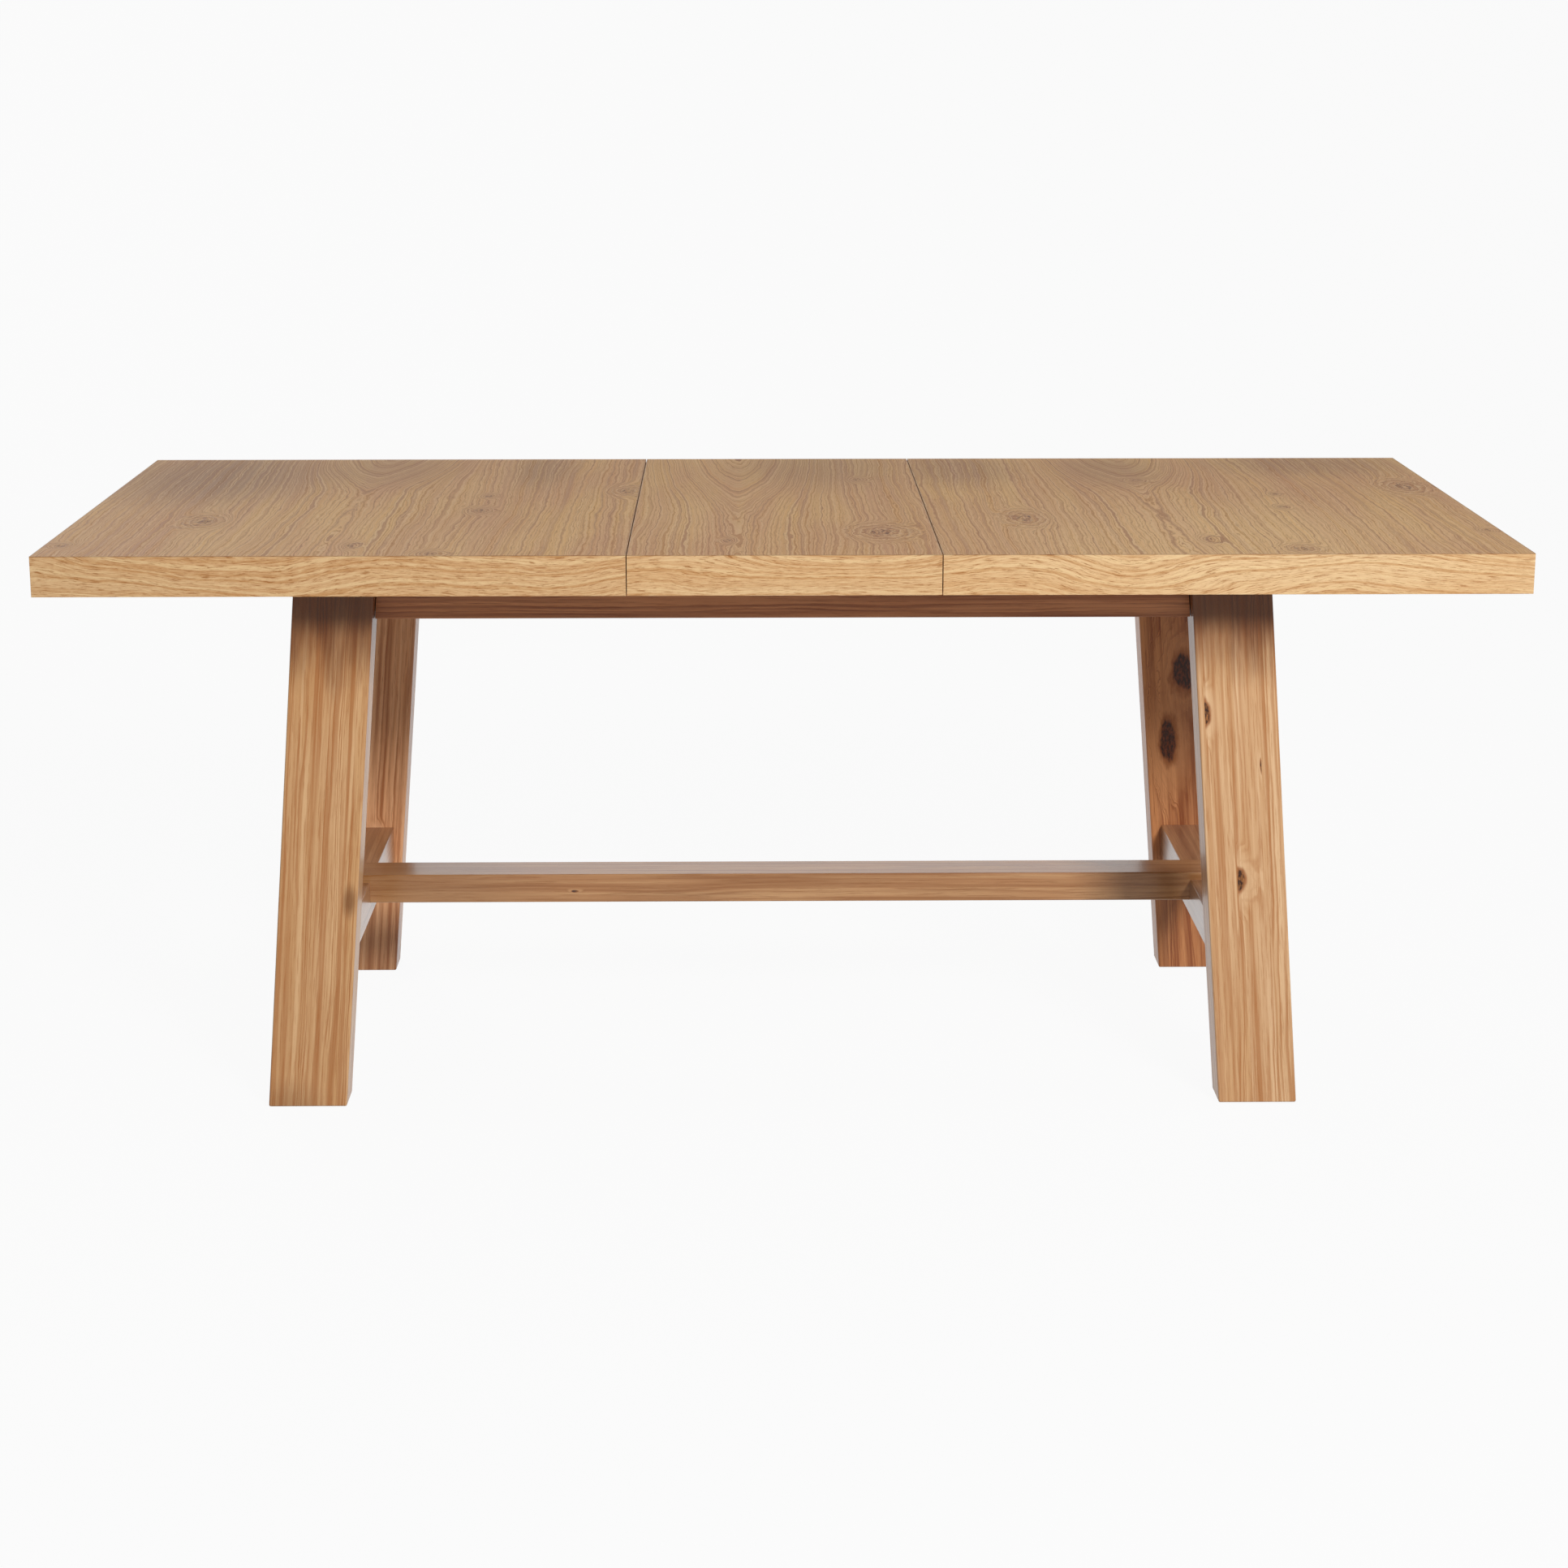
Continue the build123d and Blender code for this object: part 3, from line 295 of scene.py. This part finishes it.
def pine(name, along_axis, seed, tint, turn=0.0, knots=(), stains=(), painted_shade_from=0, ring_width=9.0, coat=0.0):
    """Edge-glued pine, stained and matt lacquered: pale earlywood, narrow red-brown latewood, dark knots."""
    pale_code, base_code, late_code = tint
    material, tree, shader = new_finish(name, 0.3)
    shader.inputs["Specular IOR Level"].default_value = 0.3
    shader.inputs["Coat Weight"].default_value = coat
    shader.inputs["Coat Roughness"].default_value = 0.15
    along, across, depth = grain_axes(tree, along_axis, turn)
    knots = turned(knots, turn)
    stains = turned(stains, turn)
    stave = add(tree, "Math", across, STAVE_WIDTH, operation="DIVIDE")
    stave = add(tree, "Math", add(tree, "Math", stave, seed * 13.7, operation="ADD"), operation="FLOOR")
    chance = add(tree, "TexWhiteNoise", stave, noise_dimensions="1D").outputs["Value"]
    pith = add(tree, "MapRange", chance, 0.0, 1.0, -70.0, 70.0)
    run = add(tree, "Math", chance, 900.0, along, operation="MULTIPLY_ADD")

    sideways = add(tree, "Math", across, pith, operation="SUBTRACT")
    inwards = add(tree, "Math", depth, LEG_PITH if along_axis == "Z" else RAIL_PITH, operation="ADD")
    inwards = add(tree, "Math", inwards, RING_FLATTENING, operation="MULTIPLY")
    spoke = add(tree, "CombineXYZ", sideways, inwards)
    field = add(tree, "VectorMath", spoke, operation="LENGTH").outputs["Value"]
    for lengths, sway in PINE_DRIFTS:
        drift = stretched_noise(tree, run, across, depth, lengths)
        field = add(tree, "Math", drift, sway, field, operation="MULTIPLY_ADD")
    ragged = stretched_noise(tree, along, across, depth, (26, 11, 60), 2.0, 0.55)
    ragged = add(tree, "Math", ragged, 0.5, operation="SUBTRACT")
    field, nearest = flow_round_knots(tree, field, along, across, ragged, knots, 4.0, 3.0)

    spread = add(tree, "TexNoise", field, 0.05, 1.0, 0.5, noise_dimensions="1D")
    rings = add(tree, "Math", spread, 30.0, field, operation="MULTIPLY_ADD")
    saw = add(tree, "Math", add(tree, "Math", rings, ring_width, operation="DIVIDE"), operation="FRACT")
    rise = add(tree, "MapRange", saw, 0.25, 0.80, 0.0, 1.0, interpolation_type="SMOOTHERSTEP")
    fall = add(tree, "MapRange", saw, 0.84, 1.0, 1.0, 0.0, interpolation_type="SMOOTHSTEP")
    ring = add(tree, "Math", rise, fall, operation="MULTIPLY")
    patch = stretched_noise(tree, run, field, depth, (260, 11, 60), 1.0)
    ring = add(tree, "Math", ring, add(tree, "MapRange", patch, 0.35, 0.68, 0.12, 0.8), operation="MULTIPLY")
    fibres = stretched_noise(tree, run, across, depth, (60, 1.7, 1.7), 3.0, 0.7)
    streaks = stretched_noise(tree, run, across, depth, (700, 9, 9), 2.0)
    cloud = stretched_noise(tree, run, across, depth, (220, 40, 40), 2.0)

    colour = add(tree, "Mix", add(tree, "MapRange", cloud, 0.3, 0.7), hex_colour(base_code),
                 hex_colour(pale_code), data_type="RGBA")
    stave_tone = add(tree, "MapRange", chance, 0.1, 1.0, 0.0, 0.40)
    colour = add(tree, "Mix", stave_tone, colour, hex_colour(late_code), data_type="RGBA")
    streak = add(tree, "MapRange", streaks, 0.48, 0.68, 0.0, 0.7, interpolation_type="SMOOTHSTEP")
    colour = add(tree, "Mix", streak, colour, hex_colour(late_code), data_type="RGBA")
    sap = add(tree, "MapRange", streaks, 0.46, 0.34, 0.0, 0.8, interpolation_type="SMOOTHSTEP")
    colour = add(tree, "Mix", sap, colour, hex_colour(pale_code), data_type="RGBA")
    colour = add(tree, "Mix", ring, colour, hex_colour(late_code), data_type="RGBA")
    fibre = add(tree, "MapRange", fibres, 0.50, 0.68, 0.0, 0.6, interpolation_type="SMOOTHSTEP")
    colour = add(tree, "Mix", fibre, colour, hex_colour(late_code), data_type="RGBA")
    if knots:
        halo = add(tree, "MapRange", nearest, 1.4, 3.2, 0.6, 0.0, interpolation_type="SMOOTHSTEP")
        colour = add(tree, "Mix", halo, colour, hex_colour(pale_code), data_type="RGBA")
        bark = add(tree, "MapRange", nearest, 1.0, 1.5, 0.85, 0.0, interpolation_type="SMOOTHSTEP")
        colour = add(tree, "Mix", bark, colour, hex_colour("#9c5a2c"), data_type="RGBA")
        grit = stretched_noise(tree, along, across, depth, (7, 3, 5), 3.0, 0.7)
        grit = add(tree, "MapRange", grit, 0.42, 0.72)
        heart = add(tree, "Mix", grit, hex_colour("#32170a"), hex_colour(late_code), data_type="RGBA")
        core = add(tree, "MapRange", nearest, 0.75, 1.05, 1.0, 0.0, interpolation_type="SMOOTHSTEP")
        colour = add(tree, "Mix", core, colour, heart, data_type="RGBA")
    for *place, strength in stains:
        away = knot_distance(tree, along, across, (*place, 0))
        stain = add(tree, "MapRange", away, 0.2, 1.2, strength, 0.0, interpolation_type="SMOOTHSTEP")
        colour = add(tree, "Mix", stain, colour, hex_colour("#7a4a22"), data_type="RGBA")
    # Painted shade: the leg is darkened from a ragged height upwards, for the shadow that the table top casts
    # on its upper end.
    if painted_shade_from:
        shade_noise = stretched_noise(tree, along, across, depth, (160, 30, 60), 3.0, 0.6)
        edge = add(tree, "Math", shade_noise, 130.0, along, operation="MULTIPLY_ADD")
        painted_top_shadow = add(tree, "MapRange", edge, painted_shade_from - 55.0, painted_shade_from + 70.0, 0.0, 0.92,
                    interpolation_type="SMOOTHSTEP")
        painted_shadow_colour = add(tree, "Mix", ring, hex_colour("#6f3b17"), hex_colour("#4c250e"), data_type="RGBA")
        colour = add(tree, "Mix", painted_top_shadow, colour, painted_shadow_colour, data_type="RGBA")
    rough = add(tree, "MapRange", ring, 0.0, 1.0, 0.34, 0.27)
    relief = add(tree, "Math", ring, fibre, operation="SUBTRACT")
    surface(tree, shader, colour, rough, relief, depth_mm=0.12)
    return material


def beech(name, along_axis):
    """Planed and waxed beech: even pinkish brown with short fine flecks."""
    material, tree, shader = new_finish(name, 0.4)
    along, across, depth = grain_axes(tree, along_axis)
    flecks = stretched_noise(tree, along, across, depth, (9, 1.2, 1.2), 2.0)
    tone = stretched_noise(tree, along, across, depth, (160, 12, 12), 2.0)
    colour = add(tree, "Mix", add(tree, "MapRange", tone, 0.3, 0.7), hex_colour("#cfa57c"),
                 hex_colour("#dcb78f"), data_type="RGBA")
    fleck = add(tree, "MapRange", flecks, 0.56, 0.68, 0.0, 0.6)
    colour = add(tree, "Mix", fleck, colour, hex_colour("#a97a52"), data_type="RGBA")
    surface(tree, shader, colour, None, flecks, depth_mm=0.05)
    return material


def fibreboard(name):
    """Sealed fibreboard: even tan with a fine mottle of pressed fibres."""
    material, tree, shader = new_finish(name, 0.55)
    along, across, depth = grain_axes(tree, "Y")
    mottle = stretched_noise(tree, along, across, depth, (3, 3, 3), 4.0, 0.65)
    cloud = stretched_noise(tree, along, across, depth, (120, 120, 120), 2.0)
    colour = add(tree, "Mix", mottle, hex_colour("#a98a68"), hex_colour("#c2a582"), data_type="RGBA")
    colour = add(tree, "Mix", add(tree, "MapRange", cloud, 0.3, 0.7, 0.0, 0.4), colour,
                 hex_colour("#b3926e"), data_type="RGBA")
    surface(tree, shader, colour, None, mottle, depth_mm=0.05)
    return material


def zinc_steel(name):
    """Zinc-plated steel: bright grey with faint cloudy spangles."""
    material, tree, shader = new_finish(name, 0.32, metallic=1.0)
    along, across, depth = grain_axes(tree, "Z")
    cloud = stretched_noise(tree, along, across, depth, (2, 2, 2), 3.0)
    colour = add(tree, "Mix", cloud, hex_colour("#a9abad"), hex_colour("#d2d3d1"), data_type="RGBA")
    rough = add(tree, "MapRange", cloud, 0.3, 0.7, 0.26, 0.42)
    surface(tree, shader, colour, rough)
    return material


def nylon(name, dark_code, light_code):
    """Moulded nylon: slightly waxy, with a fine moulded grain."""
    material, tree, shader = new_finish(name, 0.45, ior=1.53)
    along, across, depth = grain_axes(tree, "Z")
    grain = stretched_noise(tree, along, across, depth, (0.8, 0.8, 0.8), 2.0)
    colour = add(tree, "Mix", grain, hex_colour(dark_code), hex_colour(light_code), data_type="RGBA")
    surface(tree, shader, colour, None, grain, depth_mm=0.03)
    return material


# ---------------------------------------------------------------- the top
# Each knot: its place along the grain and across it, half its width, how much longer it is, and the side of
# its middle that shows, or 0 for both.
# Each crown: its place across the grain, where it starts and ends along it, and how far its lines spread.
# Each shade: its place, half its width, how much longer it is, how strong it is, and its colour.
# The grey shades, towards the back of the top, are partly the veneer's own tone and partly painted shade that
# darkens the back; the gold ones, towards the front, are partly tone and partly painted light that brightens
# the front.
GREY_TONE_AND_PAINTED_SHADE = "#967358"
GOLD_TONE_AND_PAINTED_LIGHT = "#ecc690"
LEFT_KNOTS = [
    (-165, -777, 13, 2.2, 0), (-370, -556, 6, 2.6, 0), (-435, -450, 9, 1.5, 0), (-72, -414, 9, 1.8, 0),
    (65, -412, 6, 2.0, 0), (115, -215, 12, 2.2, 0), (-365, -927, 7, 1.6, 0),
]
LEFT_CROWN = (-590, 100, 520, 120)
LEFT_SHADES = [
    (260, -820, 190, 1.8, 0.80, GREY_TONE_AND_PAINTED_SHADE), (330, -350, 60, 4.0, 0.55, GREY_TONE_AND_PAINTED_SHADE),
    (340, -580, 120, 2.0, 0.40, GREY_TONE_AND_PAINTED_SHADE), (-330, -560, 300, 0.9, 0.15, GOLD_TONE_AND_PAINTED_LIGHT),
]
LEAF_KNOTS = [(-265, 130, 18, 1.7, 0), (-335, -72, 5, 2.6, 0), (222, 117, 7, 2.0, 0)]
LEAF_CROWN = (-60, -200, 520, 130)
LEAF_SHADES = [(350, 60, 150, 1.8, 0.50, GREY_TONE_AND_PAINTED_SHADE), (-150, -130, 60, 5.0, 0.30, GOLD_TONE_AND_PAINTED_LIGHT)]
RIGHT_KNOTS = [
    (-150, 330, 13, 2.6, 0), (-335, 553, 6, 3.0, 0), (-408, 662, 11, 1.6, 0), (-55, 695, 6, 1.8, 0),
    (70, 705, 5, 2.0, 0), (140, 903, 15, 2.2, 0), (212, 525, 8, 1.5, 0), (-262, 932, 6, 1.6, 0),
]
RIGHT_CROWN = (520, 80, 520, 120)
RIGHT_SHADES = [
    (330, 270, 110, 2.0, 0.55, GREY_TONE_AND_PAINTED_SHADE), (320, 500, 100, 2.2, 0.50, GREY_TONE_AND_PAINTED_SHADE),
    (380, 800, 180, 0.9, 0.55, GREY_TONE_AND_PAINTED_SHADE), (-330, 580, 420, 1.1, 0.50, GOLD_TONE_AND_PAINTED_LIGHT),
]


def dress_top():
    """The three panels: veneered tops, edge bands, and what is under them."""
    panels = (
        ("left_top", 1, 0.30, (LEFT_CROWN, LEFT_KNOTS, LEFT_SHADES), ("end", "seam")),
        ("leaf", 2, 0.12, (LEAF_CROWN, LEAF_KNOTS, LEAF_SHADES), ("left", "right")),
        ("right_top", 3, 0.02, (RIGHT_CROWN, RIGHT_KNOTS, RIGHT_SHADES), ("seam", "end")),
    )
    board = fibreboard("sealed_fibreboard")
    softwood = pine("unfinished_softwood", "X", 9, ("#ddbb8b", "#d2ac7a", "#b38650"))
    for panel, seed, tone, figure, ends in panels:
        dress(oak_veneer(f"oak_veneer_{panel}", seed, *figure), f"{panel}_upper_skin")
        long_band = oak_edge(f"oak_long_edge_{panel}", "X", seed, tone, OUTER_ARRIS)
        dress(long_band, f"{panel}_front_edge", f"{panel}_back_edge")
        for end in ends:
            arris_shade = OUTER_ARRIS if end == "end" else SEAM_ARRIS
            end_band = oak_edge(f"oak_{end}_edge_{panel}", "Y", seed + 0.5, tone, arris_shade)
            dress(end_band, f"{panel}_{end}_edge")
        dress(board, f"{panel}_lower_skin")
        dress(softwood, f"{panel}_core_frame")


# ---------------------------------------------------------------- the base
# Each knot and each darker stain: its place along the grain and across it, and the rest as on the top. The
# last number of a stain is its strength. Along a leg is upwards, and across it is along the table.
RIGHT_FRONT_KNOTS = [(540, 553, 6, 2.6, 1), (313, 604, 10, 1.6, 1), (470, 630, 2, 5.0, -1)]
LEFT_BACK_KNOTS = [(216, -612, 6, 1.5, 0)]
RIGHT_BACK_KNOTS = [(468, 613, 18, 1.6, 0), (362, 594, 13, 2.6, 0)]
LEFT_FRONT_STAINS = [(289, -576, 11, 2.4, 0.75), (0, -665, 55, 0.8, 0.35)]
STRETCHER_KNOTS = [(-294, 216, 1.5, 3.0, 0)]
STRETCHER_STAINS = [(-520, 220, 60, 3.5, 0.30), (-150, 205, 20, 6.0, 0.22)]
# Each leg: its stain, the width of its rings, the height from which the table top's shadow is painted on it,
# or 0 for none, its knots, and its darker stains.
LEGS = {
    "left_front": (FRONT_PINE, 7.0, 630.0, [], LEFT_FRONT_STAINS),
    "right_front": (PALE_PINE, 10.0, 630.0, RIGHT_FRONT_KNOTS, []),
    "left_back": (LEFT_BACK_PINE_PAINTED_LIGHT, 9.0, 0.0, LEFT_BACK_KNOTS, []),
    "right_back": (RIGHT_BACK_PINE, 11.0, 0.0, RIGHT_BACK_KNOTS, []),
}


def dress_base():
    """Legs, rails, aprons, stretcher and everything hidden that joins them."""
    for number, (place, (tint, ring_width, painted_shade_from, knots, stains)) in enumerate(LEGS.items()):
        side = -1 if place.startswith("left") else 1
        material = pine(f"pine_{place}_leg", "Z", number + 1, tint, turn=side * LEG_LEAN, knots=knots,
                        stains=stains, painted_shade_from=painted_shade_from, ring_width=ring_width, coat=0.1)
        dress(material, f"{place}_leg")
    dark = ("#dc9768", "#ca8458", "#8a4c2a")
    for number, face in enumerate(("front", "back")):
        dress(pine(f"pine_{face}_apron", "X", number + 11, dark), f"{face}_apron")
    middle = ("#d0a06f", "#c18a5a", "#98602f")
    stretcher = pine("pine_stretcher", "X", 15, middle, knots=STRETCHER_KNOTS, stains=STRETCHER_STAINS,
                     ring_width=15.0, coat=0.6)
    dress(stretcher, "stretcher")
    cross = pine("pine_cross_rails", "Y", 17, ("#bd8c62", "#ad7b54", "#855434"), coat=0.6)
    dress(cross, "left_foot_rail", "right_foot_rail", "left_end_rail", "right_end_rail", "centre_bearer")
    dress(pine("pine_blocks", "X", 19, FRONT_PINE), "corner_blocks")
    runner_wood = beech("beech_runners", "X")
    sides = ("left", "right")
    faces = ("front", "back")
    dress(runner_wood, *[f"{side}_{face}_runner" for side in sides for face in faces])
    dress(runner_wood, *[f"{side}_{face}_guide_rail" for side in sides for face in faces])
    dress(runner_wood, "apron_dowels", "left_top_dowels", "right_top_dowels")
    steel = zinc_steel("zinc_plated_steel")
    dress(steel, "leg_bolts", "stretcher_bolts", "corner_block_screws", "guide_rail_screws")
    dress(steel, "left_runner_screws", "right_runner_screws")
    dress(nylon("white_nylon_pads", "#d8d6d0", "#e6e4de"), "slide_pads")
    dress(nylon("brown_nylon_glides", "#3b2c22", "#4a382c"), "foot_glides")


# ---------------------------------------------------------------- floor, light and camera
# How white the surroundings look, and how much light they give.
WHITENESS = 0.94
ROOM_LIGHT = 0.3


def make_stage():
    """A pale floor that curves up into a backdrop behind the table."""
    mesh = bmesh.new()
    radius = 2.5
    front, back, wide, tall = -9.0, 4.5, 12.0, 6.0
    path = [(front, 0.0), (back, 0.0)]
    path += [(back + radius * math.sin(a), radius * (1 - math.cos(a)))
             for a in [math.radians(step) for step in range(6, 91, 6)]]
    path.append((back + radius, tall))
    previous = mesh.verts.new((-wide, path[0][0], path[0][1]))
    edges = []
    for y, z in path[1:]:
        vertex = mesh.verts.new((-wide, y, z))
        edges.append(mesh.edges.new((previous, vertex)))
        previous = vertex
    swept = bmesh.ops.extrude_edge_only(mesh, edges=edges)["geom"]
    moved = [item for item in swept if isinstance(item, bmesh.types.BMVert)]
    bmesh.ops.translate(mesh, vec=(2 * wide, 0, 0), verts=moved)
    bmesh.ops.recalc_face_normals(mesh, faces=mesh.faces)
    data = bpy.data.meshes.new("studio_floor")
    mesh.to_mesh(data)
    mesh.free()
    for polygon in data.polygons:
        polygon.use_smooth = True
    floor = bpy.data.objects.new("studio_floor", data)
    bpy.context.scene.collection.objects.link(floor)
    material, tree, shader = new_finish("pale_floor", 0.9)
    shader.inputs["Base Color"].default_value = (0.5, 0.5, 0.5, 1)
    shader.inputs["Specular IOR Level"].default_value = 0.1
    glow = add(tree, "Emission", (1, 1, 1, 1), 1.0)
    rays = add(tree, "LightPath").outputs
    seen = add(tree, "Math", rays["Is Camera Ray"], rays["Is Glossy Ray"], operation="MAXIMUM")
    seen = add(tree, "Math", seen, WHITENESS, operation="MULTIPLY")
    blend = add(tree, "MixShader", seen, shader, glow)
    tree.links.new(blend.outputs[0], tree.nodes["Material Output"].inputs["Surface"])
    data.materials.append(material)


def add_light(name, place, target, size, power):
    """A round soft light that looks at a target."""
    data = bpy.data.lights.new(name, "AREA")
    data.shape = "DISK"
    data.size = size
    data.energy = power
    light = bpy.data.objects.new(name, data)
    light.location = place
    light.rotation_euler = (Vector(target) - Vector(place)).to_track_quat("-Z", "Y").to_euler()
    bpy.context.scene.collection.objects.link(light)


def light_studio():
    """A large key light from the front and right, a weak one from behind, and even white light all round."""
    add_light("key_light", (2.1, -5.2, 3.4), (0, 0, 0.6), 1.3, 259.0)
    add_light("back_light", (-3.0, 6.3, 5.0), (0, 0, 0.5), 1.6, 100.0)
    world = bpy.data.worlds.new("studio_white")
    world.use_nodes = True
    tree = world.node_tree
    background = tree.nodes["Background"]
    background.inputs["Color"].default_value = (1, 1, 1, 1)
    seen = add(tree, "LightPath").outputs["Is Camera Ray"]
    strength = add(tree, "MapRange", seen, 0.0, 1.0, ROOM_LIGHT, WHITENESS)
    tree.links.new(strength.outputs[0], background.inputs["Strength"])
    bpy.context.scene.world = world
    bpy.context.scene.view_settings.view_transform = "Standard"


def place_camera():
    """The camera stands in front, a little above the table, and looks slightly down."""
    data = bpy.data.cameras.new("camera")
    data.lens = 72.37
    data.sensor_width = 36.0
    camera = bpy.data.objects.new("camera", data)
    camera.location = (-0.0535, -4.3797, 1.4227)
    camera.rotation_euler = (math.pi / 2 - 0.2371, 0, -0.0134)
    bpy.context.scene.collection.objects.link(camera)
    bpy.context.scene.camera = camera


dress_top()
dress_base()
make_stage()
light_studio()
place_camera()
